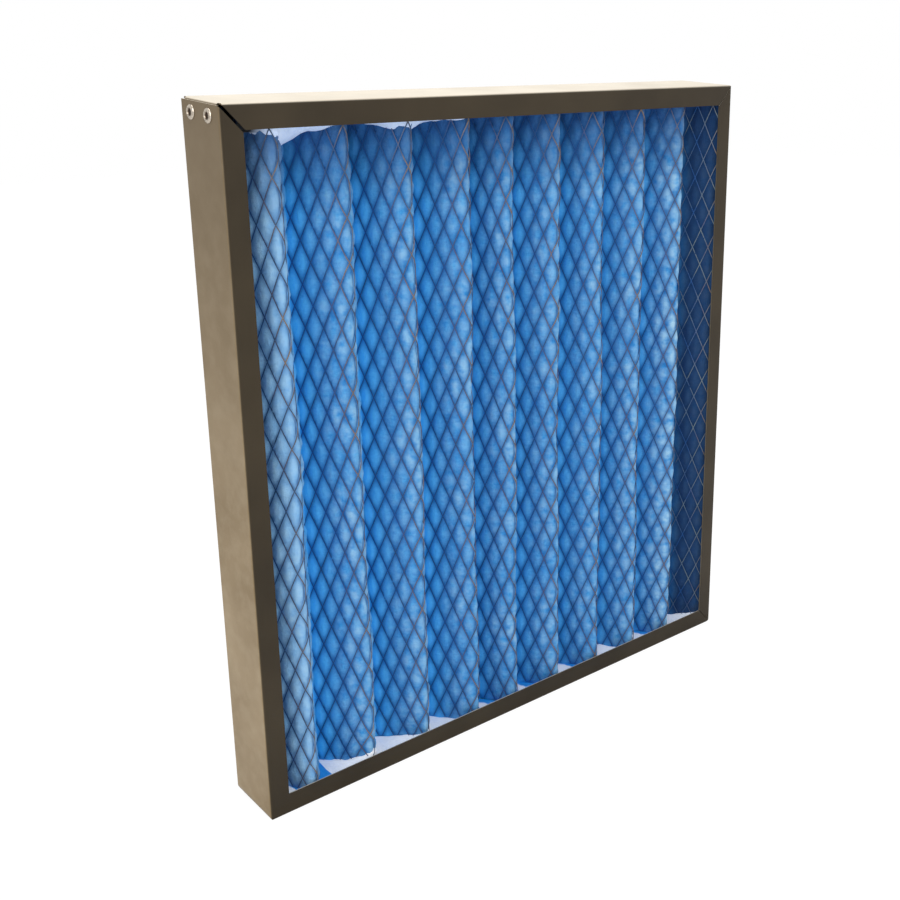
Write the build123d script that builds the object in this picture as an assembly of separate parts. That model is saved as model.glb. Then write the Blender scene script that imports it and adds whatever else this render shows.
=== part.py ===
"""Pleated panel air filter: a folded steel channel frame, closed by two blind rivets,
round a zigzag of two-colour felt media with a diamond support mesh on its front face.

Millimetres. X is the width, Y the depth (the mesh side faces -Y), Z is up.
The origin is on the base, in the middle of the width and of the depth.
"""
from build123d import *
import os
from math import asin, atan2, degrees, hypot, sin, sqrt

# Frame: one strip of sheet, folded to a channel and bent round three corners.
WIDTH = 496.0
HEIGHT = 496.0
DEPTH = 47.0
SHEET = 0.8
FLANGE = 16.0
FOLD_RADIUS = 2.0
# Outside radii of the three bent corners, at the front fold and at the rear fold.
BOTTOM_LEFT_BEND = (2.6, 12.0)
BOTTOM_RIGHT_BEND = (6.0, 12.0)
TOP_RIGHT_BEND = (2.6, 12.0)
MITRE_SLIT = 0.5
# The bends are rounder at the rear, so the strip has length to spare there, and the top
# leans: its rear edge stands this much higher than its front edge.
TOP_RISE = 4.8

# Riveted corner, top left: the strip's top end turns down inside the side web.
SEAM_GAP = 2.2
LAP_CLEARANCE = 0.1
END_FOLD_RADIUS = 1.6
SIDE_EDGE_DROP = 1.3
TAB_LENGTH = 18.0
TAB_SIDE_GAP = 2.2
TAB_CHAMFER = 3.0

# Blind rivets through the side web and the tab.
RIVET_DIAMETER = 4.8
RIVET_HEAD_DIAMETER = 9.5
RIVET_HEAD_HEIGHT = 1.6
RIVET_HEAD_FLAT = 4.2
RIVET_BORE = 2.6
RIVET_BORE_DEPTH = 2.4
RIVET_TAIL_DIAMETER = 6.6
RIVET_TAIL_LENGTH = 3.6
RIVET_HOLE_CLEARANCE = 0.2
RIVET_SPACING = 21.0
RIVET_DROP = 8.4

# Media: ridges face the front, and each one stands where its fold fell.
MEDIA_THICKNESS = 5.0
MEDIA_GAP = 0.3
FRONT_CLEARANCE = 2.4
REAR_CLEARANCE = 2.0
FIRST_RIDGE = 40.5
PLEAT_PITCHES = (52.5, 54.5, 52.5, 43.0, 47.5, 50.0, 47.5, 49.0)

# Support mesh: crossed strands that follow the pleats.
DIAMOND_WIDTH = 14.6
DIAMOND_HEIGHT = 33.2
STRAND_WIDTH = 1.0
STRAND_THICKNESS = 0.5
MESH_GAP = 0.15
MESH_SHORTFALL = 17.0

LEFT = -WIDTH / 2
RIGHT = WIDTH / 2
FRONT = -DEPTH / 2
REAR = DEPTH / 2
TAB_OUTSIDE = LEFT + SHEET + LAP_CLEARANCE
TAB_INSIDE = TAB_OUTSIDE + SHEET
TAB_HALF = DEPTH / 2 - FOLD_RADIUS - TAB_SIDE_GAP
END_FOLD_END = TAB_OUTSIDE + END_FOLD_RADIUS
TOP_EDGE = HEIGHT + TOP_RISE
# On the top, measured from the middle of its depth: Y along its slope, Z square to it.
ON_TOP = Pos(0, 0, HEIGHT + TOP_RISE / 2) * Rot(degrees(atan2(TOP_RISE, DEPTH)), 0, 0)
RIVETS = [ON_TOP * Pos(LEFT, y, -RIVET_DROP) for y in (-RIVET_SPACING / 2, RIVET_SPACING / 2)]


def block(low, high):
    """A box between two opposite corners."""
    size = [h - l for l, h in zip(low, high)]
    return Pos(*low) * Box(*size, align=(Align.MIN, Align.MIN, Align.MIN))


def tapered_rod(start, start_radius, end, end_radius):
    """A round rod between two points, carried on past both ends at the same taper."""
    length = (end - start).length
    over = DEPTH / 10
    flare = (end_radius - start_radius) / length * over
    profile = Polyline(
        (0, -over),
        (start_radius - flare, -over),
        (end_radius + flare, length + over),
        (0, length + over),
        close=True,
    )
    rod = revolve(Plane.XZ * make_face(profile), Axis.Z)
    return Plane(start, z_dir=end - start) * rod


def corner_cut(side, low, inset, bend):
    """What a bent corner takes off the square block. The bend widens from front to rear."""
    inward = Vector(-side, 0, 1 if low else -1)
    edge = Vector(side * (RIGHT - inset), 0, inset if low else HEIGHT - inset)
    rise = 0 if low else TOP_RISE
    front = edge + Vector(0, FRONT + inset, 0) + inward * (bend[0] - inset)
    rear = edge + Vector(0, REAR - inset, rise) + inward * (bend[1] - inset)
    along = rear - front
    taper = 1 / sqrt(1 - ((bend[1] - bend[0]) / along.length) ** 2)
    rod = tapered_rod(front, (bend[0] - inset) * taper, rear, (bend[1] - inset) * taper)
    chord = edge + Vector(0, FRONT + inset, 0) + inward * (bend[0] - inset) / 2
    across = Vector(side, 0, 1 if low else -1)
    outward = across.cross(along + inward * (bend[0] - bend[1]) / 2)
    if outward.dot(inward) > 0:
        outward = -outward
    size = 3 * DEPTH
    beyond = Box(size, size, size, align=(Align.CENTER, Align.CENTER, Align.MIN))
    return Plane(chord, z_dir=outward) * beyond - rod


BENT_CORNERS = (
    (-1, True, BOTTOM_LEFT_BEND),
    (1, True, BOTTOM_RIGHT_BEND),
    (1, False, TOP_RIGHT_BEND),
)
CLOSED_MITRE = (-1, True, FRONT)


def leaning_block(side_inset, front, rear, inset):
    """A block with its four edges set in, and a top that leans as the frame's does."""
    profile = Polyline(
        (front, inset),
        (rear, inset),
        (rear, HEIGHT - inset + TOP_RISE * (rear - FRONT) / DEPTH),
        (front, HEIGHT - inset + TOP_RISE * (front - FRONT) / DEPTH),
        close=True,
    )
    half = WIDTH / 2 - side_inset
    return extrude(Plane.YZ * make_face(profile), half, both=True)


def bent_block(inset, fold_radius=0):
    """The block inside one skin of the frame: long folds first, then the three bends."""
    solid = leaning_block(inset, FRONT + inset, REAR - inset, inset)
    if fold_radius:
        edges = solid.edges().group_by(Axis.Y)
        solid = fillet(edges[0] + edges[-1], fold_radius)
    return solid - [corner_cut(side, low, inset, bend) for side, low, bend in BENT_CORNERS]


def mitre_cut(side, low, width, start, end, y):
    """A cut along the corner's diagonal, from start to end, both measured in from the edges."""
    run = (end - start) * sqrt(2)
    middle = (start + end) / 2
    x = side * (RIGHT - middle)
    z = middle if low else HEIGHT - middle
    if y == REAR and not low:
        z += TOP_RISE
    turn = 45 * side if low else -45 * side
    return Pos(x, y, z) * Rot(0, turn, 0) * Box(run, 2 * FOLD_RADIUS, width)


def mitre_slits():
    """Where the notched flanges meet at the bent corners. One pair is pressed shut."""
    slits = []
    for side, low, bend in BENT_CORNERS:
        for radius, y in zip(bend, (FRONT, REAR)):
            if (side, low, y) != CLOSED_MITRE:
                start = radius * (1 - 1 / sqrt(2)) + FOLD_RADIUS
                slits.append(mitre_cut(side, low, MITRE_SLIT, start, FLANGE + SHEET, y))
    return slits


def seam_cuts():
    """What is cut away at the riveted corner: both flange ends and the top of the side web."""
    cuts = [mitre_cut(-1, False, SEAM_GAP, -FOLD_RADIUS, FLANGE + SHEET, y) for y in (FRONT, REAR)]
    over = 1.0
    cuts.append(
        ON_TOP
        * block(
            (LEFT - over, FRONT - over, -SIDE_EDGE_DROP),
            (END_FOLD_END, REAR + over, over),
        )
    )
    return cuts


def lap_tab():
    """The top strip's end: it turns down and lies inside the side web."""
    root = END_FOLD_END + END_FOLD_RADIUS
    corners = [
        (root, 0),
        (TAB_OUTSIDE, 0),
        (TAB_OUTSIDE, -TAB_LENGTH),
        (TAB_INSIDE, -TAB_LENGTH),
        (TAB_INSIDE, -SHEET),
        (root, -SHEET),
    ]
    radii = (0, END_FOLD_RADIUS, 0, 0, END_FOLD_RADIUS - SHEET, 0)
    face = make_face(FilletPolyline(corners, radius=radii, close=True))
    tab = extrude(Plane.XZ * face, TAB_HALF, both=True)
    ends = tab.edges().filter_by(Axis.X).group_by(Axis.Z)[0]
    return ON_TOP * chamfer(ends, TAB_CHAMFER)


def rivet_holes():
    radius = (RIVET_DIAMETER + RIVET_HOLE_CLEARANCE) / 2
    length = 4 * SHEET + LAP_CLEARANCE
    middle = Pos(TAB_OUTSIDE - LEFT, 0, 0) * Rot(0, 90, 0)
    return [place * middle * Cylinder(radius, length) for place in RIVETS]


def channel_frame():
    """The folded strip, with its seam and its rivet holes."""
    opening = leaning_block(FLANGE, FRONT - SHEET, REAR + SHEET, FLANGE)
    shell = bent_block(0, FOLD_RADIUS) - bent_block(SHEET, FOLD_RADIUS - SHEET) - opening
    shell -= mitre_slits() + seam_cuts()
    return shell + lap_tab() - rivet_holes()


def blind_rivet(place):
    """A blind rivet, set: a low hollow head outside, a swelled tail behind the tab."""
    grip = TAB_INSIDE - LEFT
    rim = RIVET_HEAD_DIAMETER / 2
    flat = RIVET_HEAD_FLAT / 2
    shank = RIVET_DIAMETER / 2
    bore = RIVET_BORE / 2
    tail = RIVET_TAIL_DIAMETER / 2
    top = RIVET_HEAD_HEIGHT
    outline = Polyline(
        (shank, 0),
        (rim, 0),
        (flat, top),
        (bore, top),
        (bore, top - RIVET_BORE_DEPTH),
        (0, top - RIVET_BORE_DEPTH),
        (0, -grip - RIVET_TAIL_LENGTH),
        (tail, -grip - RIVET_TAIL_LENGTH),
        (tail, -grip),
        (shank, -grip),
        close=True,
    )
    rivet = revolve(make_face(outline), Axis.Y)
    return place * Rot(0, 0, 90) * rivet


def pleat_slope():
    """The lean of a typical pleat's side from the Y axis, in radians."""
    radius = MEDIA_THICKNESS / 2
    half_pitch = sum(PLEAT_PITCHES) / len(PLEAT_PITCHES) / 2
    rise = DEPTH - 2 * SHEET - FRONT_CLEARANCE - REAR_CLEARANCE - MEDIA_THICKNESS
    span = hypot(half_pitch, rise - 2 * radius)
    return atan2(half_pitch, rise - 2 * radius) - asin(2 * radius / span)


SLOPE = pleat_slope()


def fold_points(shift):
    """The sharp corners of the zigzag, rear and front by turns, moved towards the front."""
    half = MEDIA_THICKNESS / 2
    recess = half * (1 / sin(SLOPE) - 1)
    front = FRONT + SHEET + FRONT_CLEARANCE + half - recess
    rear = REAR - SHEET - REAR_CLEARANCE - half + recess
    ridges = [LEFT + FIRST_RIDGE - PLEAT_PITCHES[0], LEFT + FIRST_RIDGE]
    for pitch in PLEAT_PITCHES:
        ridges.append(ridges[-1] + pitch)
    while ridges[-1] < RIGHT:
        ridges.append(ridges[-1] + PLEAT_PITCHES[-1])
    points = [(ridges[0], front - shift)]
    for before, after in zip(ridges, ridges[1:]):
        points.append(((before + after) / 2, rear - shift))
        points.append((after, front - shift))
    return points


def media_line(side):
    """One face of the media: side is 1 for the front face and -1 for the rear face.

    The felt is round outside each fold, by its own thickness, and sharp inside it.
    """
    points = fold_points(side * MEDIA_THICKNESS / 2 / sin(SLOPE))
    round_folds = 1 if side > 0 else 0
    folds = range(len(points) - 2)
    radii = [MEDIA_THICKNESS if fold % 2 == round_folds else 0 for fold in folds]
    return FilletPolyline(points, radius=radii)


def between(front_line, rear_line, low, high):
    """The solid between two lines across the width, from one height to another."""
    ends = [
        Line(front_line @ 0, rear_line @ 0),
        Line(front_line @ 1, rear_line @ 1),
    ]
    face = make_face(Curve() + [front_line, rear_line] + ends)
    return Pos(0, 0, low) * extrude(face, high - low, dir=(0, 0, 1))


def inside_frame():
    """The room that the channel, its tab and the rivet tails leave for the media."""
    lap = block(
        (LEFT, FRONT, HEIGHT - TAB_LENGTH - MEDIA_GAP),
        (TAB_INSIDE + RIVET_TAIL_LENGTH + MEDIA_GAP, REAR, TOP_EDGE),
    )
    return bent_block(SHEET + MEDIA_GAP) - lap


def pleated_media():
    """The felt, as one pleated blanket, cut back round the tab."""
    media = between(media_line(1), media_line(-1), 0, TOP_EDGE)
    return media & inside_frame()


def mesh_line(distance):
    """One face of the mesh, this far in front of the media, with a flat on each ridge."""
    points = fold_points((MEDIA_THICKNESS / 2 + distance) / sin(SLOPE))
    ridges = media_line(1).edges().filter_by(GeomType.CIRCLE).sort_by(Axis.X)
    line = points[:1]
    for index in range(1, len(points) - 1, 2):
        root = points[index]
        line.append(root)
        if index // 2 == len(ridges):
            break
        ridge = points[index + 1]
        fold = ridges[index // 2]
        flat = fold.arc_center.Y - fold.radius - distance
        for foot in (root, points[index + 2]):
            share = (flat - ridge[1]) / (foot[1] - ridge[1])
            line.append((ridge[0] + share * (foot[0] - ridge[0]), flat))
    return Polyline(line + points[-1:])


def strands(direction):
    """Parallel slanted bars, right through the depth, that lean one way."""
    step = DIAMOND_WIDTH * sin(SLOPE)
    lean = step / DIAMOND_HEIGHT
    half_width = STRAND_WIDTH * sin(SLOPE) / 2
    reach = TOP_EDGE * lean
    count = int((WIDTH + reach) / step) + 1
    bars = []
    for index in range(count):
        foot = direction * (LEFT - reach + index * step)
        head = foot + direction * reach
        face = make_face(
            Polyline(
                (foot - half_width, 0),
                (foot + half_width, 0),
                (head + half_width, TOP_EDGE),
                (head - half_width, TOP_EDGE),
                close=True,
            )
        )
        bars.append(extrude(Plane.XZ * face, DEPTH / 2, both=True))
    return Compound(bars)


def support_mesh():
    """Two crossed layers of strands, one in front of the other, folded with the pleats."""
    short = block((RIGHT - SHEET - MESH_SHORTFALL, FRONT, 0), (RIGHT, REAR, TOP_EDGE))
    room = inside_frame() - short
    layers = []
    for direction, distance in ((1, MESH_GAP + STRAND_THICKNESS), (-1, MESH_GAP)):
        front = mesh_line(distance + STRAND_THICKNESS)
        rear = mesh_line(distance)
        sheet = between(front, rear, 0, TOP_EDGE) & room
        layers += (sheet & strands(direction)).solids()
    return Compound(layers)


def main():
    os.makedirs("parts", exist_ok=True)
    nodes = {
        "channel_frame": channel_frame(),
        "pleated_media": pleated_media(),
        "support_mesh": support_mesh(),
        "blind_rivets": Compound([blind_rivet(place) for place in RIVETS]),
    }
    for name, shape in nodes.items():
        export_step(shape, f"parts/{name}.step")
        print(f"{name}: {len(shape.solids())} solids, {shape.volume:.0f} mm3")
    print(f"pleat sides lean {degrees(SLOPE):.1f} degrees")


main()
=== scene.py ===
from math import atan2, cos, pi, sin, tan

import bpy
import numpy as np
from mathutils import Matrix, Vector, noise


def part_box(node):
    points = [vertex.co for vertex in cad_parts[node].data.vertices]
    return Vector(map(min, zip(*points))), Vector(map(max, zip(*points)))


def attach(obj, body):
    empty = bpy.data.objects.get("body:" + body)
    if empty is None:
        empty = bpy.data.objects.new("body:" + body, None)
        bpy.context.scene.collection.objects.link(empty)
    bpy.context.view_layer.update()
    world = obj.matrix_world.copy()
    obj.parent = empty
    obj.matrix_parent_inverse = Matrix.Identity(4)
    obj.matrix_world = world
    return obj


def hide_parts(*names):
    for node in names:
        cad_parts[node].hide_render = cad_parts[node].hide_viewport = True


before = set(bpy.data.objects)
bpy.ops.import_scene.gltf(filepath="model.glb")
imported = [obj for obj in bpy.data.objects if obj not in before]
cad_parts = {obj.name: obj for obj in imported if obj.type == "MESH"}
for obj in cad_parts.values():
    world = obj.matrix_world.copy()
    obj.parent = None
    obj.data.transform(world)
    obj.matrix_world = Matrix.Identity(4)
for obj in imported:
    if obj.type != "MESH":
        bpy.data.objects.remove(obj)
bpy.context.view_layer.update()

# %% [markdown]
# # A pleated panel filter
# The folded steel channel comes from the CAD frame and only gets its finish here. The
# felt blanket, the diamond mesh that lies on it and the two rivets are modelled in this
# script. Everything is in metres, in the CAD model's own frame.

MM = 0.001
low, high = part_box("channel_frame")
LEFT, FRONT, BASE = low
RIGHT, REAR, TOP = high
CORNER = 496 * MM
SHEET = 0.8 * MM
FLANGE = 16 * MM
print("frame", [round((b - a) / MM, 1) for a, b in zip(low, high)], "mm")

# %% [markdown]
# ## Working by hand, in code
# Each new piece starts as a primitive and is shaped in edit mode, the way it would be
# done with a mouse. An operator acts on whatever is selected, so the first helper clears
# the selection, and the others select by place.


# %% Helpers for edit mode
def start_clean():
    """Object mode with nothing selected."""
    if bpy.context.mode != "OBJECT":
        bpy.ops.object.mode_set(mode="OBJECT")
    bpy.ops.object.select_all(action="DESELECT")


def newest(name):
    """Names the primitive that was just added, and applies its place to its mesh."""
    piece = bpy.context.object
    piece.name = piece.data.name = name
    bpy.ops.object.transform_apply(location=True, rotation=True, scale=True)
    return piece


def corners(piece):
    """The mesh's points as rows of x, y, z."""
    points = np.empty(len(piece.data.vertices) * 3)
    piece.data.vertices.foreach_get("co", points)
    return points.reshape(-1, 3)


def place_corners(piece, points):
    """Moves the mesh's points to these rows of x, y, z."""
    piece.data.vertices.foreach_set("co", np.asarray(points, float).ravel())
    piece.data.update()


def joined(pieces, name):
    """Several meshes made one."""
    start_clean()
    for piece in pieces:
        piece.select_set(True)
    bpy.context.view_layer.objects.active = pieces[0]
    bpy.ops.object.join()
    return newest(name)


# %% [markdown]
# ## Where the folds fall
# The felt and the mesh are laid flat on each other and folded in one go, so both are
# modelled flat here too. One function then folds them: it takes how far along the sheet
# a point lies and how far it stands off the felt's face, and says where that is in the
# folded pack. The pleats are folded by hand, so no two are quite the same width.

# %% The zigzag's corners
FELT = 5 * MM
FIRST_RIDGE = 40.5 * MM
PITCHES = [p * MM for p in (52.5, 54.5, 52.5, 43.0, 47.5, 50.0, 47.5, 49.0)]
RIDGE_RADIUS = 3.4 * MM
ROOT_RADIUS = 1.6 * MM
RIDGE_FRONT = FRONT + SHEET + 2.2 * MM
ROOT_REAR = REAR - SHEET - 1.8 * MM - FELT
SIDE_GAP = 1.1 * MM
EDGE_GAP = 0.4 * MM
SKIN_GAP = 0.2 * MM

ridges = [LEFT + FIRST_RIDGE - PITCHES[0], LEFT + FIRST_RIDGE]
for pitch in PITCHES + [PITCHES[-1], PITCHES[-1]]:
    ridges.append(ridges[-1] + pitch)
half_pitch = sum(PITCHES) / len(PITCHES) / 2
lean = atan2(half_pitch, ROOT_REAR - RIDGE_FRONT)
ridge_corner = RIDGE_FRONT - RIDGE_RADIUS * (1 / sin(lean) - 1)
root_corner = ROOT_REAR + ROOT_RADIUS * (1 / sin(lean) - 1)
zigzag = [(ridges[0], ridge_corner)]
for before, after in zip(ridges, ridges[1:]):
    zigzag.append(((before + after) / 2, root_corner))
    zigzag.append((after, ridge_corner))
print(len(PITCHES) + 1, "ridges; the sides lean", round(lean * 180 / pi, 1), "degrees")


# %% The zigzag with its corners rounded, as a fine line with its normals
def rounded(points, radii, steps=12):
    """A line through the corners with an arc at each, and the front normal all along."""
    line, normals = [points[0]], []
    heading = Vector(points[1]) - Vector(points[0])
    normals.append(Vector((heading.y, -heading.x)).normalized())
    for before, corner, after, radius in zip(points, points[1:], points[2:], radii):
        into = (Vector(corner) - Vector(before)).normalized()
        out = (Vector(after) - Vector(corner)).normalized()
        turn = into.angle_signed(out)
        reach = radius * tan(abs(turn) / 2)
        begin = Vector(corner) - into * reach
        first = Vector((into.y, -into.x))
        centre = begin + first * radius * (1 if turn > 0 else -1)
        for step in range(steps + 1):
            spin = Matrix.Rotation(-turn * step / steps, 2)
            line.append(centre + spin @ (begin - centre))
            normals.append(spin @ first)
    line.append(Vector(points[-1]))
    normals.append(normals[-1].copy())
    return np.array([tuple(p) for p in line]), np.array([tuple(n) for n in normals])


radii = [ROOT_RADIUS if i % 2 == 0 else RIDGE_RADIUS for i in range(len(zigzag) - 2)]
fold_line, fold_normals = rounded(zigzag, radii)
steps = np.hypot(*np.diff(fold_line, axis=0).T)
run = np.concatenate([[0], np.cumsum(steps)])
begin = np.interp(LEFT + SIDE_GAP, fold_line[:, 0], run)
finish_at = np.interp(RIGHT - SIDE_GAP, fold_line[:, 0], run)
FLAT_WIDTH = finish_at - begin
root_runs = np.array([np.interp(x, fold_line[:, 0], run) for x, y in zigzag[1::2]]) - begin
ridge_runs = np.array([np.interp(x, fold_line[:, 0], run) for x, y in zigzag[2::2]]) - begin
fold_places = [x for x, y in zigzag[1:-2]]
FLOOR = BASE + SHEET + EDGE_GAP
CEILING = CORNER - SHEET - EDGE_GAP
FLAT_HEIGHT = CEILING - FLOOR
print("flat blanket", round(FLAT_WIDTH, 3), "by", round(FLAT_HEIGHT, 3), "m")


# %% Folding
SWAY = 0.8 * MM
SWAY_FADE = 30 * MM


def sway(along, height):
    """Hand-folded ridges aren't quite straight: a slow sideways drift, in metres."""
    drift = np.sin(along * 37 + height * 19) + 0.6 * np.sin(along * 61 - height * 43 + 1.7)
    edge = np.clip(np.minimum(along, FLAT_WIDTH - along) / SWAY_FADE, 0, 1)
    return SWAY * drift * edge


def folded(along, off, height):
    """Folds flat points: along the sheet, off its face towards the front, and height."""
    where = along + begin
    x = np.interp(where, run, fold_line[:, 0])
    y = np.interp(where, run, fold_line[:, 1])
    nx = np.interp(where, run, fold_normals[:, 0])
    ny = np.interp(where, run, fold_normals[:, 1])
    length = np.hypot(nx, ny)
    x = x + off * nx / length + sway(along, height)
    y = y + off * ny / length
    x = np.clip(x, LEFT + SHEET + SKIN_GAP, RIGHT - SHEET - SKIN_GAP)
    y = np.clip(y, FRONT + SHEET + SKIN_GAP, REAR - SHEET - SKIN_GAP)
    return inside_bends(np.stack([x, y, height], axis=1))


def nearest(along, places):
    """How far each point is from the nearest of some places along the sheet."""
    return np.abs(along[:, None] - places[None, :]).min(axis=1)


# %% Rounded corners of the channel, which nothing inside may poke through
TOP_RISE = 4.8 * MM
BENDS = ((LEFT, BASE, 2.6 * MM), (RIGHT, BASE, 6 * MM), (RIGHT, CORNER, 2.6 * MM))
REAR_BEND = 12 * MM


def inside_bends(points):
    """Draws points into the channel's three bent corners, which are rounder at the rear."""
    x, y, z = points.T.copy()
    share = (y - FRONT) / (REAR - FRONT)
    for side, level, front_bend in BENDS:
        radius = front_bend + (REAR_BEND - front_bend) * share
        outward, down = np.sign(side), -1 if level == BASE else 1
        middle_x = side - outward * radius
        middle_z = level + (TOP_RISE * share if down == 1 else 0) - down * radius
        reach_x, reach_z = x - middle_x, z - middle_z
        reach = np.hypot(reach_x, reach_z)
        room = radius - SHEET - EDGE_GAP
        beyond = (reach_x * outward > 0) & (reach_z * down > 0) & (reach > room)
        pull = np.where(beyond, room / np.maximum(reach, 1e-9), 1)
        x, z = middle_x + reach_x * pull, middle_z + reach_z * pull
    return np.stack([x, y, z], axis=1)


# %% [markdown]
# ## The felt blanket
# The blanket is one loose felt, blue at the front and white at the back. The mesh is
# pressed into its blue face, so the felt swells through every diamond like quilting.
# It starts as a grid, gets its thickness from one extrusion and is then quilted and
# folded by moving its points. The blue face's lower edge has shrunk upwards unevenly.

# %% The diamond pattern that mesh and felt share
DIAMOND_WIDTH = 13.2 * MM
DIAMOND_HEIGHT = 30 * MM
PUFF = 3.3 * MM
PRESSED = 1.0 * MM


def swelling(along, height):
    """0 under a strand and 1 in the middle of a diamond."""
    one = along / DIAMOND_WIDTH + height / DIAMOND_HEIGHT
    other = along / DIAMOND_WIDTH - height / DIAMOND_HEIGHT
    return np.abs(np.sin(pi * one) * np.sin(pi * other)) ** 0.8


# %% The blanket, flat
COLUMNS, ROWS = 395, 118
start_clean()
bpy.ops.mesh.primitive_grid_add(
    x_subdivisions=COLUMNS,
    y_subdivisions=ROWS,
    size=1,
    location=(FLAT_WIDTH / 2, 0, FLOOR + FLAT_HEIGHT / 2),
    rotation=(pi / 2, 0, 0),
)
bpy.context.object.scale = (FLAT_WIDTH, FLAT_HEIGHT, 1)
blanket = newest("felt_blanket")
bpy.ops.object.mode_set(mode="EDIT")
bpy.ops.mesh.select_all(action="SELECT")
bpy.ops.mesh.extrude_region_move(TRANSFORM_OT_translate={"value": (0, FELT, 0)})
bpy.ops.mesh.select_all(action="SELECT")
bpy.ops.mesh.normals_make_consistent(inside=False)
bpy.ops.object.mode_set(mode="OBJECT")
print("flat blanket:", len(blanket.data.vertices), "points")


# %% Its map, in metres on the flat sheet, so that patterns fold with the felt
def map_flat(piece, flat):
    """A UV map that is the piece's own flat size, in metres."""
    layer = piece.data.uv_layers.new(name="flat")
    points = np.empty(len(piece.data.loops), int)
    piece.data.loops.foreach_get("vertex_index", points)
    layer.data.foreach_set("uv", flat[points][:, [0, 2]].ravel())


def keep_field(piece, name, values):
    """One number for each point, for the material to read."""
    field = piece.data.attributes.new(name, "FLOAT", "POINT")
    field.data.foreach_set("value", np.asarray(values, float))


def fold_depth(along):
    """0 on a ridge and 1 in a root, measured along the sheet."""
    from_ridge, from_root = nearest(along, ridge_runs), nearest(along, root_runs)
    return from_ridge / (from_ridge + from_root)


flat = corners(blanket)
map_flat(blanket, flat)
along, behind, height = flat.T
last_root = root_runs[root_runs < FLAT_WIDTH][-1]
last_panel = np.clip((along - last_root) / (20 * MM), 0, 1)
keep_field(blanket, "depth", fold_depth(along))
keep_field(blanket, "last_panel", last_panel)
print("last panel starts", round(float(last_root), 3), "m along")

# %% How far the white climbs at the bottom
# In millimetres, at each fold in turn from the first root on the left.
WHITE_RISES = (12, 2, 3, 17, 2, 12, 1, 3, 1, 2, 1, 2, 2, 3, 5, 3, 2, 3, 1, 12)
# The share of it that the blue edge has shrunk by, and how far up that fades out.
LIFT_SHARE = 0.7
LIFT_REACH = 60 * MM


def wander(first, second, seed):
    """Smooth noise between about -0.5 and 0.5, for pairs of numbers."""
    return np.array([noise.noise(Vector((a, b, seed))) for a, b in zip(first, second)])


def between_folds(x, values):
    """Values given at each fold in turn, root first, blended along the width."""
    return np.interp(x, fold_places, np.array(values) * MM)


def raised(along, height):
    """Where the blue face's points stand, once its lower edge has shrunk upwards."""
    across = np.interp(along + begin, run, fold_line[:, 0])
    uneven = 1 + 0.4 * wander(along * 60, along * 0, 8.7)
    lift = LIFT_SHARE * between_folds(across, WHITE_RISES) * uneven
    low_down = np.clip(1 - (height - FLOOR) / LIFT_REACH, 0, 1) ** 2
    return height + lift * low_down


# %% Quilting and folding
# The felt swells least in the roots, on the ridges and at its rims.
ROOT_FADE, RIDGE_FADE, RIM_FADE = 4 * MM, 7 * MM, 8 * MM
FLUFF, SLACK = 0.25 * MM, 0.4 * MM

front_face = behind < FELT / 2
root_fade = 1 - np.exp(-((nearest(along, root_runs) / ROOT_FADE) ** 2))
ridge_fade = 1 - 0.6 * np.exp(-((nearest(along, ridge_runs) / RIDGE_FADE) ** 2))
rim_fade = np.clip(np.minimum(height - FLOOR, CEILING - height) / RIM_FADE, 0.15, 1)
fluff = wander(along * 160, height * 160, 3.1)
broad = wander(along * 45, height * 30, 8.7)
puff = PUFF * swelling(along, height) * (1 + 0.35 * broad + 0.3 * fluff)
puff *= root_fade * ridge_fade * rim_fade
off = np.where(front_face, puff - PRESSED + FLUFF * fluff * root_fade, -behind)
off += SLACK * broad * root_fade
stands_at = np.where(front_face, raised(along, height), height)
place_corners(blanket, folded(along, off, stands_at))
print("blanket folded:", [round(s, 3) for s in blanket.dimensions], "m")

# %% Its two colours: white wherever a face looks to the rear or is a cut edge
face_count = len(blanket.data.polygons)
is_front = np.zeros(face_count, bool)
for face in blanket.data.polygons:
    is_front[face.index] = all(front_face[i] for i in face.vertices)
blanket.data.polygons.foreach_set("material_index", (~is_front).astype(int))
start_clean()
blanket.select_set(True)
bpy.context.view_layer.objects.active = blanket
bpy.ops.object.shade_smooth()
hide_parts("pleated_media")
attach(blanket, "root")
print("blue faces:", int(is_front.sum()), "of", face_count)

# %% [markdown]
# ## The white edge
# Where the blanket was cut, the white fibres of its back curl round the end of the blue
# and fill the channel in front of it. The curl is its own soft strip: a grid across the
# width, each column of which bulges from the blue face down to the steel. In places blue
# fibres run out over it.


# %% How far blue fibres run out over the lower curl
# Pairs of a place from the left and a reach, both in millimetres. A reach well below
# nothing leaves the curl white.
NO_BLUE = -9
NO_SKIRT = ((0, NO_BLUE), (496, NO_BLUE))
BLUE_SKIRTS = (
    (30, 3), (44, 24), (60, 36), (66, 28), (69, NO_BLUE), (190, NO_BLUE), (212, 10),
    (222, 12), (245, 8), (258, 16), (275, 18), (292, 6), (316, 6), (345, 8),
    (356, NO_BLUE), (385, 2), (412, 5), (438, 14), (455, 13), (463, 12),
    (470, NO_BLUE), (496, NO_BLUE),
)
CURL_COLUMNS, CURL_ROWS = 640, 14
CURL_LEFT, CURL_RIGHT = LEFT + 1.05 * FLANGE, RIGHT - 0.85 * FLANGE
CURL_MAP_DEPTH = 25 * MM
CURL_GAP = 0.3 * MM
FELT_OVERLAP = 1.5 * MM
SKIRT_EDGE = 2.5 * MM
# How much blue-grey painted shade the upper curl gets under the top flange.
UPPER_SHADE = 0.4


def reach_at(x, pairs):
    """Blends pairs of (place from the left, reach), both in millimetres, along x."""
    places, reaches = zip(*pairs)
    return np.interp((x - LEFT) / MM, places, reaches) * MM


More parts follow.
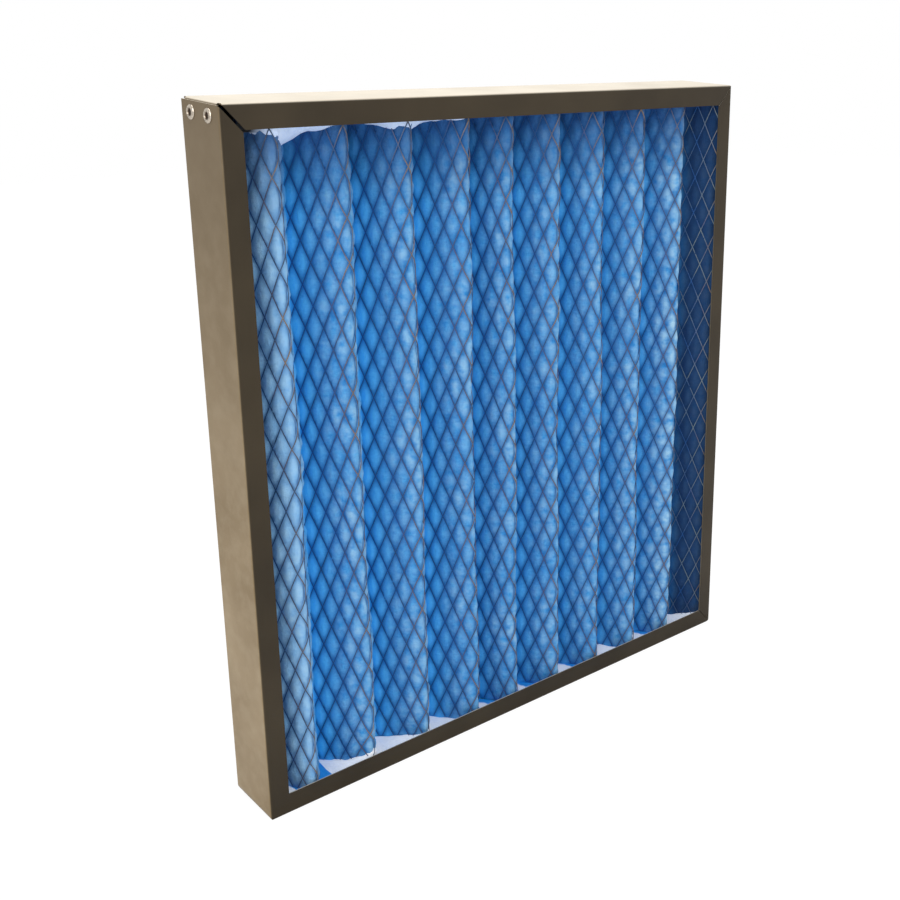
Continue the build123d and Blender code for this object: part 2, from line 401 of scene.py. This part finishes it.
# %% One soft curl across the whole width
def white_curl(name, steel, inward, rises, skirts, seed):
    """A white curl along one cut edge.

    steel is the height that it lies on, and inward is 1 at the bottom and -1 at the top.
    rises says how far it climbs the blue, fold by fold, and skirts where it is blue.
    """
    start_clean()
    bpy.ops.mesh.primitive_grid_add(
        x_subdivisions=CURL_COLUMNS,
        y_subdivisions=CURL_ROWS,
        size=1,
        location=((CURL_LEFT + CURL_RIGHT) / 2, 0, 0.5),
        rotation=(pi / 2, 0, 0),
    )
    bpy.context.object.scale = (CURL_RIGHT - CURL_LEFT, 1, 1)
    strip = newest(name)
    x, _, share = corners(strip).T
    map_flat(strip, np.stack([x, x, share * CURL_MAP_DEPTH], axis=1))
    broad = wander(x * 55, share * 0.8, seed)
    fine = wander(x * 230, share * 4, seed + 3)
    felt_face = np.interp(x, fold_line[:, 0], fold_line[:, 1]) + FELT_OVERLAP
    room = np.maximum(felt_face - (FRONT + SHEET + 0.5 * MM), 0)
    rise = between_folds(x, rises) * (1 + 0.35 * broad + 0.12 * fine)
    bend = pi / 2 * share
    bulge = 1 - 0.12 * np.sin(2 * bend) * (0.5 + fine)
    y = felt_face - room * np.sin(pi / 2 - bend) ** 0.8 * bulge
    z = steel + inward * (0.1 * MM + rise * np.sin(bend) * bulge)
    keep_field(strip, "loose", np.ones(len(x)))
    skirt = reach_at(x + 4 * MM * fine, skirts) * (1 + 0.5 * broad + 0.6 * fine)
    blue_here = np.clip((skirt - (felt_face - y)) / SKIRT_EDGE + 0.5, 0, 1)
    # Blue where blue fibres run over the curl. The upper curl also gets a painted shade.
    keep_field(strip, "blue_fibres_and_shade", np.maximum(blue_here, 0 if inward > 0 else UPPER_SHADE))
    y = np.maximum(y, FRONT + SHEET + CURL_GAP)
    place_corners(strip, inside_bends(np.stack([x, y, z], axis=1)))
    bpy.ops.object.shade_smooth()
    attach(strip, "root")
    print(name, [round(s, 3) for s in strip.dimensions])
    return strip


# How far the upper curl hangs down, in millimetres, at each fold in turn.
TOP_FALLS = (20, 21, 24, 14, 16, 21, 20, 14, 12, 12, 12, 12, 12, 12, 12, 12, 12, 12, 16, 12)
lower_curl = white_curl("lower_white_edge", FLOOR, 1, WHITE_RISES, BLUE_SKIRTS, 5.5)
upper_curl = white_curl("upper_white_edge", CEILING, -1, TOP_FALLS, NO_SKIRT, 9.5)

# %% [markdown]
# ## The diamond mesh
# The mesh is one sheet of thin strands. A single strand is modelled flat, leaned over and
# repeated across the sheet. The strands that cross it lean the other way. All of them are
# trimmed to the flat sheet and folded by the same function as the felt.

# %% One leaning strand
STRAND_WIDTH = 0.62 * MM
STRAND_THICKNESS = 0.45 * MM
STRAND_PIECE = 5 * MM
MESH_OFF = 0.75 * MM
# What the mesh falls short of the felt by, at the four edges of the flat sheet.
NEAR_SHORT, FAR_SHORT = 1 * MM, 16 * MM
LOW_SHORT, HIGH_SHORT = 3 * MM, 1.5 * MM


def strand(direction):
    """A thin bar across the whole height, leaning to one side."""
    rise = FLAT_HEIGHT + 2 * DIAMOND_HEIGHT
    shift = rise * DIAMOND_WIDTH / DIAMOND_HEIGHT
    start_clean()
    bpy.ops.mesh.primitive_cube_add(size=1, location=(0, 0, 0))
    bpy.context.object.scale = (STRAND_WIDTH, STRAND_THICKNESS, (rise**2 + shift**2) ** 0.5)
    bar = newest("strand")
    bpy.ops.object.mode_set(mode="EDIT")
    bpy.ops.mesh.select_all(action="SELECT")
    turn = direction * atan2(shift, rise)
    bpy.ops.transform.rotate(value=turn, orient_axis="Y", center_override=(0, 0, 0))
    bpy.ops.transform.translate(value=(0, 0, (FLOOR + CEILING) / 2))
    bpy.ops.object.mode_set(mode="OBJECT")
    return bar


# %% All the strands that lean one way
def family(direction):
    """Copies of one strand. Each crosses the datum at a whole number of diamonds."""
    bar = strand(direction)
    points = corners(bar)
    slope = np.polyfit(points[:, 2], points[:, 0], 1)[0]
    drift = slope * FLAT_HEIGHT
    first = int((min(0, -drift)) / DIAMOND_WIDTH) - 1
    last = int((FLAT_WIDTH + max(0, -drift)) / DIAMOND_WIDTH) + 1
    at_datum = (points[:, 0] - slope * points[:, 2]).mean()
    bar.data.transform(Matrix.Translation((first * DIAMOND_WIDTH - at_datum, 0, 0)))
    repeat = bar.modifiers.new("repeat", "ARRAY")
    repeat.use_relative_offset = False
    repeat.use_constant_offset = True
    repeat.constant_offset_displace = (DIAMOND_WIDTH, 0, 0)
    repeat.count = last - first + 1
    bpy.ops.object.modifier_apply(modifier=repeat.name)
    print("strands leaning", "right:" if direction > 0 else "left:", last - first + 1)
    return bar


# %% The flat mesh, trimmed to its sheet
mesh = joined([family(1), family(-1)], "diamond_mesh")
bpy.ops.object.mode_set(mode="EDIT")
for place, facing in (
    ((NEAR_SHORT, 0, 0), (-1, 0, 0)),
    ((FLAT_WIDTH - FAR_SHORT, 0, 0), (1, 0, 0)),
    ((0, 0, FLOOR + LOW_SHORT), (0, 0, -1)),
    ((0, 0, CEILING - HIGH_SHORT), (0, 0, 1)),
):
    bpy.ops.mesh.select_all(action="SELECT")
    bpy.ops.mesh.bisect(plane_co=place, plane_no=facing, clear_outer=True, use_fill=True)
bpy.ops.object.mode_set(mode="OBJECT")
print("flat mesh:", len(mesh.data.polygons), "faces")


# %% Its strands cut into short lengths, so that they can bend
def edge_lengths(piece):
    """How long each of the mesh's edges is."""
    ends = np.empty(len(piece.data.edges) * 2, int)
    piece.data.edges.foreach_get("vertices", ends)
    first, second = corners(piece)[ends.reshape(-1, 2)].swapaxes(0, 1)
    return np.linalg.norm(second - first, axis=1)


lengths = edge_lengths(mesh)
while lengths.max() > STRAND_PIECE:
    bpy.ops.object.mode_set(mode="EDIT")
    bpy.ops.mesh.select_mode(type="EDGE")
    bpy.ops.mesh.select_all(action="DESELECT")
    bpy.ops.object.mode_set(mode="OBJECT")
    mesh.data.edges.foreach_set("select", lengths > STRAND_PIECE)
    bpy.ops.object.mode_set(mode="EDIT")
    bpy.ops.mesh.subdivide(number_cuts=1)
    bpy.ops.object.mode_set(mode="OBJECT")
    lengths = edge_lengths(mesh)
print("mesh in short lengths:", len(mesh.data.polygons), "faces")

# %% Folded with the felt
flat = corners(mesh)
map_flat(mesh, flat)
along, behind, height = flat.T
place_corners(mesh, folded(along, MESH_OFF - behind, raised(along, height)))
keep_field(mesh, "depth", fold_depth(along))
keep_field(mesh, "last_panel", along > last_root)
bpy.ops.object.shade_flat()
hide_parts("support_mesh")
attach(mesh, "root")
mesh.data.calc_loop_triangles()
print("mesh:", len(mesh.data.loop_triangles), "triangles")

# %% [markdown]
# ## The rivets
# Each rivet is a ball. Its outer half is squashed to a head, whose middle is pushed in to
# the hollow that the drawn-off stem leaves. Its inner half is narrower and is the tail.

# %% Two domed, hollow rivet heads
HEAD_RADIUS, HEAD_HEIGHT = 4.75 * MM, 1.6 * MM
HOLLOW_RADIUS, HOLLOW_DEPTH = 2.7 * MM, 1.3 * MM
TAIL_RADIUS, TAIL_REACH = 3.3 * MM, 5.2 * MM
RIVET_DROP, RIVET_SPACING = 8.4 * MM, 21 * MM
top_lean = atan2(TOP_RISE, REAR - FRONT)
top_middle = Vector((LEFT, 0, CORNER + TOP_RISE / 2))


def rivet(along_top):
    """One rivet, this far along the top's slope from its middle."""
    down_tab = Vector((0, sin(top_lean), -cos(top_lean))) * RIVET_DROP
    along_slope = Vector((0, cos(top_lean), sin(top_lean))) * along_top
    middle = top_middle + down_tab + along_slope
    start_clean()
    bpy.ops.mesh.primitive_uv_sphere_add(
        segments=48, ring_count=32, radius=1, rotation=(0, -pi / 2, 0)
    )
    head = newest("rivet")
    x, y, z = corners(head).T
    inside = np.clip(1 - np.hypot(y, z) * HEAD_RADIUS / HOLLOW_RADIUS, 0, 1)
    dish = np.clip(inside * 5, 0, 1) * HOLLOW_DEPTH
    on_tail = x > 0
    reach = np.where(on_tail, x * TAIL_REACH, x * HEAD_HEIGHT + dish)
    radius = np.where(on_tail, TAIL_RADIUS, HEAD_RADIUS)
    place_corners(head, np.stack([reach, y * radius, z * radius], 1))
    keep_field(head, "hollow", np.clip(inside * 6, 0, 1) * (x < 0))
    head.data.transform(Matrix.Translation(middle))
    return head


heads = joined([rivet(-RIVET_SPACING / 2), rivet(RIVET_SPACING / 2)], "rivet_heads")
bpy.ops.object.shade_smooth()
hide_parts("blind_rivets")
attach(heads, "root")
print("rivets:", len(heads.data.polygons), "faces")

# %% [markdown]
# ## Finishes
# A material is written as arithmetic. `Field` wraps a socket, so that `mask * 0.5 + 1`
# adds the Math nodes for it. `Finish` adds every other node through one method.


# %% Arithmetic on sockets
class Field:
    """A number that changes over the surface."""

    def __init__(self, finish, socket):
        self.finish, self.socket = finish, socket

    def _with(self, operation, *others, clamp=False):
        made = self.finish.node("ShaderNodeMath", {"operation": operation, "use_clamp": clamp})
        for slot, value in zip(made.inputs, (self, *others)):
            self.finish.feed(slot, value)
        return Field(self.finish, made.outputs[0])

    def __add__(self, other):
        return self._with("ADD", other)

    def __sub__(self, other):
        return self._with("SUBTRACT", other)

    def __rsub__(self, other):
        return self._with("MULTIPLY", -1) + other

    def __mul__(self, other):
        return self._with("MULTIPLY", other)

    def __pow__(self, other):
        return self._with("POWER", other)

    __radd__ = __add__
    __rmul__ = __mul__

    def size(self):
        return self._with("ABSOLUTE")

    def wave(self):
        return self._with("SINE")

    def clamped(self):
        return self._with("ADD", 0, clamp=True)

    def ramp(self, start, end):
        """0 up to start, 1 from end on, and straight in between."""
        return ((self - start) * (1 / (end - start))).clamped()


# %% A finish: one Principled shader and what feeds it
class Finish:
    """A material under construction."""

    def __init__(self, name, **sockets):
        self.material = bpy.data.materials.new(name)
        self.material.use_nodes = True
        self.tree = self.material.node_tree
        self.shader = self.tree.nodes["Principled BSDF"]
        for socket, value in sockets.items():
            self.shader.inputs[socket.replace("_", " ").title()].default_value = value

    def feed(self, socket, value):
        """Links a field or a socket, or sets a plain value."""
        if isinstance(value, Field):
            value = value.socket
        if isinstance(value, bpy.types.NodeSocket):
            self.tree.links.new(value, socket)
        else:
            socket.default_value = value

    def node(self, kind, settings=None, **inputs):
        made = self.tree.nodes.new(kind)
        for setting, value in (settings or {}).items():
            setattr(made, setting, value)
        for name, value in inputs.items():
            self.feed(made.inputs[name.replace("_", " ").title()], value)
        return made

    def field(self, kind, output, settings=None, **inputs):
        """A node's output as a Field."""
        return Field(self, self.node(kind, settings, **inputs).outputs[output])

    def noise(self, vector, scale, detail=3.0, roughness=0.55, stretch=(1, 1, 1)):
        scaled = self.node("ShaderNodeVectorMath", {"operation": "MULTIPLY"})
        self.feed(scaled.inputs[0], vector)
        self.feed(scaled.inputs[1], stretch)
        return self.field(
            "ShaderNodeTexNoise",
            "Fac",
            Vector=scaled.outputs[0],
            Scale=scale,
            Detail=detail,
            Roughness=roughness,
        )

    def blend(self, mask, first, second):
        """A colour: first where the mask is 0 and second where it is 1."""
        mix = self.node("ShaderNodeMix", {"data_type": "RGBA"})
        for place, value in ((0, mask), (6, first), (7, second)):
            self.feed(mix.inputs[place], (*value, 1) if isinstance(value, tuple) else value)
        return mix.outputs[2]

    def bump(self, height, distance, strength=1.0):
        bumped = self.node("ShaderNodeBump", Height=height, Distance=distance, Strength=strength)
        self.feed(self.shader.inputs["Normal"], bumped.outputs[0])


def colour(red, green, blue):
    """An sRGB colour, 0 to 255, as the linear numbers that sockets take."""
    parts = (c / 255 for c in (red, green, blue))
    return tuple(c / 12.92 if c <= 0.04045 else ((c + 0.055) / 1.055) ** 2.4 for c in parts)


def dress(piece, *finishes):
    """Puts finishes on a piece's slots, in order."""
    for index, finish in enumerate(finishes):
        if index < len(piece.material_slots):
            piece.material_slots[index].material = finish.material
        else:
            piece.data.materials.append(finish.material)


# %% [markdown]
# ### Galvanised sheet
# The strip is dull zinc: a faint mottle of crystals and hand smudges, tan on the webs,
# which get darker upwards. The flanges and the faces that look down get a brown painted
# shade, and the top gets a pale painted highlight. The faces are told apart by their normals,
# which stay with the part whichever way it is seen.

# %% Galvanised sheet
steel = Finish("galvanised_sheet", metallic=0.55, roughness=0.42)
place = steel.node("ShaderNodeTexCoord").outputs["Object"]
normal = steel.node("ShaderNodeNewGeometry").outputs["Normal"]
facing = steel.node("ShaderNodeSeparateXYZ", Vector=normal)
flange = Field(steel, facing.outputs["Y"]).size().ramp(0.45, 0.8)
upward = Field(steel, facing.outputs["Z"]).ramp(0.4, 0.9)
downward = Field(steel, facing.outputs["Z"]).ramp(-0.25, -0.75)
crystals = steel.noise(place, 90, 4.0)
smudges = steel.noise(place, 14, 2.0)
grain = steel.noise(place, 700, 2.0)
tan_zinc = steel.blend(smudges.ramp(0.35, 0.7), colour(148, 129, 99), colour(131, 112, 82))
tan_zinc = steel.blend(crystals.ramp(0.4, 0.75) * 0.3, tan_zinc, colour(182, 167, 142))
going_up = Field(steel, steel.node("ShaderNodeSeparateXYZ", Vector=place).outputs["Z"])
tan_zinc = steel.blend(going_up.ramp(0.2, 0.5) * 0.75, tan_zinc, colour(98, 84, 63))
# Painted shade: dark brown for the flanges and for the faces that look down.
painted_shade_zinc = steel.blend(smudges.ramp(0.3, 0.7), colour(62, 52, 35), colour(50, 41, 26))
# Painted highlight: pale zinc for the top.
painted_highlight_zinc = steel.blend(smudges.ramp(0.3, 0.7), colour(228, 218, 200), colour(208, 198, 180))
skin = steel.blend(flange, tan_zinc, painted_shade_zinc)
skin = steel.blend(upward, skin, painted_highlight_zinc)
skin = steel.blend(downward, skin, painted_shade_zinc)
steel.feed(steel.shader.inputs["Base Color"], skin)
steel.feed(steel.shader.inputs["Roughness"], crystals * 0.18 + smudges * 0.12 + 0.3)
steel.bump(crystals * 0.6 + grain * 0.4, 0.05 * MM, 0.6)
dress(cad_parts["channel_frame"], steel)
print("steel:", len(steel.tree.nodes), "nodes")

# %% [markdown]
# ### Bright zinc on the rivets
# Their hollows get a dark brown painted shade.

# %% Rivets
bright = Finish("bright_zinc", metallic=1.0, roughness=0.22)
place = bright.node("ShaderNodeTexCoord").outputs["Object"]
scratches = bright.noise(place, 900, 2.0)
hollow = bright.field("ShaderNodeAttribute", "Fac", {"attribute_name": "hollow"})
zinc = bright.blend(scratches.ramp(0.3, 0.7), colour(206, 196, 182), colour(164, 152, 136))
# Painted shade: the hollows are dark brown.
bright.feed(bright.shader.inputs["Base Color"], bright.blend(hollow, zinc, colour(70, 56, 44)))
bright.bump(scratches, 0.03 * MM, 0.5)
dress(heads, bright)
print("rivets:", len(bright.tree.nodes), "nodes")

# %% [markdown]
# ### Felt
# Loose fibres scatter light, so the felt is rough with a little sheen, and its colour is
# clouded. Fibres are two stretched noises that cross, with paler tufts over them.


# %% Felt, in any three shades
def felt(name, pale, mid, deep):
    """A felt and the colour it has so far, for more shades to be laid over."""
    soft = Finish(name, roughness=0.92)
    soft.shader.inputs["Sheen Weight"].default_value = 0.05
    soft.shader.inputs["Sheen Roughness"].default_value = 0.5
    sheet_map = soft.node("ShaderNodeUVMap", {"uv_map": "flat"}).outputs["UV"]
    clouds = soft.noise(sheet_map, 60, 4.0, 0.6)
    fibres = soft.noise(sheet_map, 560, 5.0, 0.75, (1.0, 0.4, 1.0))
    cross = soft.noise(sheet_map, 500, 5.0, 0.75, (0.4, 1.0, 1.0))
    tangle = fibres * 0.5 + cross * 0.5
    tufts = soft.noise(sheet_map, 190, 3.0, 0.6)
    skin = soft.blend(clouds.ramp(0.3, 0.7), mid, pale)
    skin = soft.blend(tangle.ramp(0.42, 0.6) * 0.75, skin, deep)
    skin = soft.blend(tufts.ramp(0.5, 0.72) * 0.5, skin, pale)
    soft.feed(soft.shader.inputs["Base Color"], skin)
    soft.bump(tangle + clouds * 0.5 + tufts * 0.6, 1.7 * MM, 1.0)
    return soft, skin, sheet_map


# %% The white felt and its curls: blue fibres in places, a painted shade on the upper curl, a painted shadow by the seam and a painted glow
shades = (colour(252, 252, 253), colour(243, 245, 250), colour(222, 228, 240))
white, skin, _ = felt("white_felt", *shades)
blue_fibres_and_shade = white.field("ShaderNodeAttribute", "Fac", {"attribute_name": "blue_fibres_and_shade"})
place = white.node("ShaderNodeTexCoord").outputs["Object"]
place = white.node("ShaderNodeSeparateXYZ", Vector=place)
# Painted shadow: nearly black under the top flange, near the seam at the top left.
shadow_under_flange = Field(white, place.outputs["Z"]).ramp(CORNER - 20 * MM, CORNER - 18 * MM)
shadow_under_flange *= Field(white, place.outputs["X"]).ramp(LEFT + 36 * MM, LEFT + 28 * MM)
loose = white.field("ShaderNodeAttribute", "Fac", {"attribute_name": "loose"})
skin = white.blend(blue_fibres_and_shade, skin, colour(44, 142, 220))
skin = white.blend(shadow_under_flange, skin, colour(12, 12, 14))
white.feed(white.shader.inputs["Base Color"], skin)
# Painted light: the loose curls glow in their own white and blue, except in the painted shadow.
glow = white.blend(blue_fibres_and_shade, colour(225, 235, 250), colour(0, 130, 210))
glow = white.blend(shadow_under_flange, glow, (0, 0, 0))
glow = white.blend(loose, (0, 0, 0), glow)
white.feed(white.shader.inputs["Emission Color"], glow)
white.shader.inputs["Emission Strength"].default_value = 0.28
dress(lower_curl, white)
dress(upper_curl, white)
print("white felt:", len(white.tree.nodes), "nodes")

# %% [markdown]
# The blue side has more to it, and much of it is painted light. Near the ridges the crowns
# of the swellings get a painted highlight, in patches and stronger towards both ends, and
# the grooves along the strands get a painted shade. It is paler on the first panel. Down in
# the roots a brighter blue and a painted glow stand for light coming through the thin felt
# from behind. It gets a painted shade under the top flange, a painted shadow by the seam,
# and a dark painted shade on the last panel, which lies against the steel.

# %% The blue side
RIDGE_HIGHLIGHT_BLUE, MID_BLUE = colour(164, 208, 236), colour(52, 152, 220)
GROOVE_SHADE_BLUE, ROOT_LIGHT_BLUE = colour(12, 94, 178), colour(92, 182, 244)
LAST_PANEL_SHADE, SHADED_BLUE, SEAM_SHADOW = colour(2, 52, 100), colour(20, 78, 142), colour(5, 10, 16)
GLOW_BLUE, FIRST_PANEL_BLUE = colour(30, 140, 205), colour(156, 204, 246)
blue, skin, sheet_map = felt("blue_felt", colour(80, 170, 230), MID_BLUE, colour(28, 124, 206))
flat_place = blue.node("ShaderNodeSeparateXYZ", Vector=sheet_map)
along, up = Field(blue, flat_place.outputs["X"]), Field(blue, flat_place.outputs["Y"])
one = along * (pi / DIAMOND_WIDTH) + up * (pi / DIAMOND_HEIGHT)
other = along * (pi / DIAMOND_WIDTH) - up * (pi / DIAMOND_HEIGHT)
crown = (one.wave() * other.wave()).size() ** 0.7
depth = blue.field("ShaderNodeAttribute", "Fac", {"attribute_name": "depth"})
last = blue.field("ShaderNodeAttribute", "Fac", {"attribute_name": "last_panel"})
patches = blue.noise(sheet_map, 22, 3.0, 0.6)
cells = blue.noise(sheet_map, 140, 2.0, 0.5)
# The painted highlight near the ridges is stronger towards both ends of the sheet.
stronger_at_ends = (along - FLAT_WIDTH * 0.45).size().ramp(0.24, 0.4) * 0.5
patchy_ridge_highlight = depth.ramp(0.7, 0.15) * (patches.ramp(0.35, 0.65) * 0.5 + 0.2 + stronger_at_ends)
first = along.ramp(84 * MM, 66 * MM) * 0.6
in_the_root = depth.ramp(0.45, 0.95)
# Painted light: a brighter blue in the roots, for light coming through the felt.
skin = blue.blend(in_the_root * 0.8, skin, ROOT_LIGHT_BLUE)
# Painted shade: deeper blue in the grooves along the strands, more in the roots.
skin = blue.blend(crown.ramp(0.85, 0.1) * (in_the_root * 0.25 + 0.65), skin, GROOVE_SHADE_BLUE)
# Painted highlight: pale on the crowns of the swellings near the ridges, in patches.
skin = blue.blend(patchy_ridge_highlight * (crown * 0.9 + 0.15) * cells.ramp(0.3, 0.6), skin, RIDGE_HIGHLIGHT_BLUE)
# Paler on the first panel.
skin = blue.blend(first * (crown * 0.4 + 0.6), skin, FIRST_PANEL_BLUE)
skin = blue.blend(up.ramp(CEILING - 75 * MM, CEILING - 20 * MM) * 0.85, skin, SHADED_BLUE)
# Painted shade: the last panel, against the steel, is dark navy.
skin = blue.blend(last * 0.95, skin, LAST_PANEL_SHADE)
# Painted shadow: nearly black by the seam at the top left.
by_the_seam = along.ramp(46 * MM, 40 * MM) * up.ramp(CEILING - 20 * MM, CEILING - 14 * MM)
skin = blue.blend(by_the_seam, skin, SEAM_SHADOW)
blue.feed(blue.shader.inputs["Base Color"], skin)
# Painted light: the roots glow blue, but not on the last panel, and less towards the top.
lit_through = in_the_root * (crown * 0.65 + 0.35) * (1 - last)
lit_through = lit_through * up.ramp(CEILING - 14 * MM, CEILING - 70 * MM)
blue.feed(blue.shader.inputs["Emission Color"], blue.blend(lit_through, (0, 0, 0), GLOW_BLUE))
blue.shader.inputs["Emission Strength"].default_value = 0.46
dress(blanket, blue, white)
print("blue felt:", len(blue.tree.nodes), "nodes")

# %% [markdown]
# ### Mesh steel
# Thin strands, mottled with tarnish. In the roots they get a dark blue painted shade, and
# where they turn over a ridge a tan painted highlight. On the last panel they get pale
# painted glints in patches.

# %% Mesh
wire = Finish("mesh_steel", metallic=0.35, roughness=0.45)
place = wire.node("ShaderNodeTexCoord").outputs["Object"]
tarnish = wire.noise(place, 60, 3.0)
depth = wire.field("ShaderNodeAttribute", "Fac", {"attribute_name": "depth"})
# Painted highlight: tan where the strands turn over a ridge, mottled with tarnish.
tarnished_ridge_highlight = wire.blend(tarnish.ramp(0.35, 0.6), colour(128, 112, 96), colour(60, 84, 116))
# Painted shade: dark blue in the roots, mottled with tarnish.
tarnished_root_shade = wire.blend(tarnish.ramp(0.35, 0.7), colour(30, 88, 154), colour(44, 88, 132))
shade = wire.blend(depth.ramp(0.05, 0.4), tarnished_ridge_highlight, tarnished_root_shade)
last = wire.field("ShaderNodeAttribute", "Fac", {"attribute_name": "last_panel"})
# Painted glints: pale patches on the strands of the last panel.
shade = wire.blend(last * tarnish.ramp(0.4, 0.65) * 0.7, shade, colour(128, 142, 142))
wire.feed(wire.shader.inputs["Base Color"], shade)
dress(mesh, wire)
print("mesh steel:", len(wire.tree.nodes), "nodes")

# %% [markdown]
# ## Studio
# A pale floor, a big soft light from the left, another from above, and a weak fill.

# %% Floor
start_clean()
bpy.ops.mesh.primitive_plane_add(size=12, location=(0, 0, BASE - 0.2 * MM))
floor = newest("floor")
ground = Finish("pale_floor", roughness=0.9)
ground.shader.inputs["Base Color"].default_value = (0.85, 0.85, 0.85, 1)
seen = ground.field("ShaderNodeLightPath", "Is Camera Ray")
glow = ground.node("ShaderNodeEmission", Color=(1, 1, 1, 1), Strength=1.06)
mixed = ground.node("ShaderNodeMixShader")
ground.feed(mixed.inputs[0], seen * 0.9)
ground.feed(mixed.inputs[1], ground.shader.outputs[0])
ground.feed(mixed.inputs[2], glow.outputs[0])
ground.feed(ground.tree.nodes["Material Output"].inputs["Surface"], mixed.outputs[0])
dress(floor, ground)
print("floor", [round(side, 1) for side in floor.dimensions], "m")

# %% The world: white to look at, and a plain light everywhere else
world = bpy.data.worlds.new("studio")
bpy.context.scene.world = world
world.use_nodes = True
air = world.node_tree
backdrop = air.nodes["Background"]
ray = air.nodes.new("ShaderNodeLightPath")
level = air.nodes.new("ShaderNodeMapRange")
level.inputs["To Min"].default_value = 0.75
level.inputs["To Max"].default_value = 1.0
seen = ray.outputs["Is Camera Ray"]
for kind in ("Is Glossy Ray", "Is Transmission Ray"):
    either = air.nodes.new("ShaderNodeMath")
    either.operation = "MAXIMUM"
    air.links.new(seen, either.inputs[0])
    air.links.new(ray.outputs[kind], either.inputs[1])
    seen = either.outputs[0]
air.links.new(seen, level.inputs["Value"])
air.links.new(level.outputs[0], backdrop.inputs["Strength"])
backdrop.inputs["Color"].default_value = (1, 1, 1, 1)
print("world:", len(air.nodes), "nodes")


# %% Lights
def lamp(name, place, size, power):
    """A square soft light that looks at the middle of the filter."""
    start_clean()
    aim = Vector((0, 0, (BASE + TOP) / 2))
    towards = (aim - Vector(place)).to_track_quat("-Z", "Y").to_euler()
    bpy.ops.object.light_add(type="AREA", location=place, rotation=towards)
    made = bpy.context.object
    made.name = name
    made.data.size = size
    made.data.energy = power
    print(name, power, "W")


lamp("left_light", (-2.2, -0.9, 1.2), 1.6, 22)
lamp("top_light", (-0.2, 0.2, 2.4), 1.4, 24)
lamp("front_fill", (0.9, -2.4, 1.0), 1.5, 5)

# %% [markdown]
# ## Camera
# A 49 mm lens just under a metre away, a little above the top edge and well round to the
# left.

# %% Camera
CAMERA = Vector((-0.6368, -0.6970, 0.5089))
PAN, TILT, ROLL = -0.6968, 0.2957, -0.0234
ahead = Vector((-sin(PAN) * cos(TILT), cos(PAN) * cos(TILT), -sin(TILT)))
right = Vector((cos(PAN), sin(PAN), 0))
above = right.cross(ahead)
right, above = right * cos(ROLL) + above * sin(ROLL), above * cos(ROLL) - right * sin(ROLL)
start_clean()
bpy.ops.object.camera_add(location=CAMERA)
camera = bpy.context.object
camera.rotation_euler = Matrix((right, above, -ahead)).transposed().to_euler()
camera.data.sensor_width = 36
camera.data.lens = 49.11
camera.data.clip_start = 0.01
bpy.context.scene.camera = camera
bpy.context.scene.view_settings.view_transform = "Standard"
print("camera:", round(camera.data.lens, 1), "mm lens")
